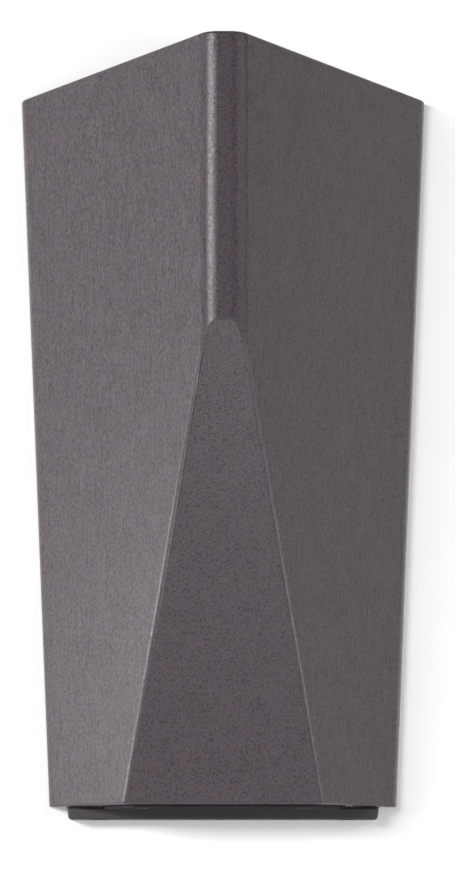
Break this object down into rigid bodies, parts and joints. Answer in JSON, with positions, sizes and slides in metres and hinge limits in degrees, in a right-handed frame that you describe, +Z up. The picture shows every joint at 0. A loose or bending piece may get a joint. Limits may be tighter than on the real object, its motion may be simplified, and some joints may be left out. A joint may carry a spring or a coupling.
{
  "type": "outdoor wall light",
  "caption": "Wall light that shines down: tapered, faceted cast housing that slides off a wall base with driver, terminal block and light chamber.",
  "frame": {"origin": "middle of the line between the two wall screws, on the wall plane", "axes": "+X to the right seen from in front, +Y into the wall, +Z up; the front of the light faces -Y"},
  "size_m": [0.128, 0.0799, 0.2263],
  "materials": {
    "housing_coat": "fine-texture powder coat, anthracite",
    "base_coat": "fine-texture powder coat, anthracite",
    "cast_aluminium": "die-cast, satin",
    "stainless_steel": "satin",
    "black_rubber": "matte",
    "grey_foam": "matte foam",
    "clear_silicone": "satin",
    "opal_diffuser": "frosted, translucent",
    "white_reflector": "satin white",
    "board_mask": "white solder mask",
    "led_phosphor": "satin",
    "thermal_grey": "matte",
    "frame_plastic": "satin",
    "driver_plastic": "fine grain",
    "lid_plastic": "fine grain",
    "terminal_plastic": "satin",
    "brass": "satin",
    "tinned_copper": "bright",
    "brown_insulation": "satin",
    "blue_insulation": "satin",
    "earth_insulation": "satin, green and yellow",
    "red_insulation": "satin",
    "black_insulation": "satin"
  },
  "bodies": {
    "base": {"wall_base": "base_coat", "wall_gasket": "grey_foam", "housing_seal": "black_rubber", "cable_grommet": "black_rubber", "locking_screws": "stainless_steel", "locking_washers": "stainless_steel", "locating_pins": "stainless_steel", "light_chamber": "cast_aluminium", "chamber_screws": "stainless_steel", "lead_grommet": "black_rubber", "thermal_pad": "thermal_grey", "led_board": "board_mask", "led_packages": "led_phosphor", "led_board_screws": "stainless_steel", "reflector": "white_reflector", "diffuser_frame": "frame_plastic", "diffuser": "opal_diffuser", "diffuser_gasket": "clear_silicone", "diffuser_frame_screws": "stainless_steel", "driver_case": "driver_plastic", "driver_lid": "lid_plastic", "driver_screws": "stainless_steel", "terminal_block": "terminal_plastic", "terminal_inserts": "brass", "terminal_screws": "stainless_steel", "terminal_block_screws": "stainless_steel", "earth_ring_tag": "tinned_copper", "earth_washer": "stainless_steel", "earth_screw": "stainless_steel", "live_lead": "brown_insulation", "neutral_lead": "blue_insulation", "earth_lead": "earth_insulation", "led_positive_lead": "red_insulation", "led_negative_lead": "black_insulation"},
    "housing": {"front_housing": "housing_coat"}
  },
  "joints": [
    {"name": "housing_slide", "type": "slide", "parent": "base", "child": "housing", "axis": [0, -1, 0], "range_m": [0, 0.09]}
  ]
}
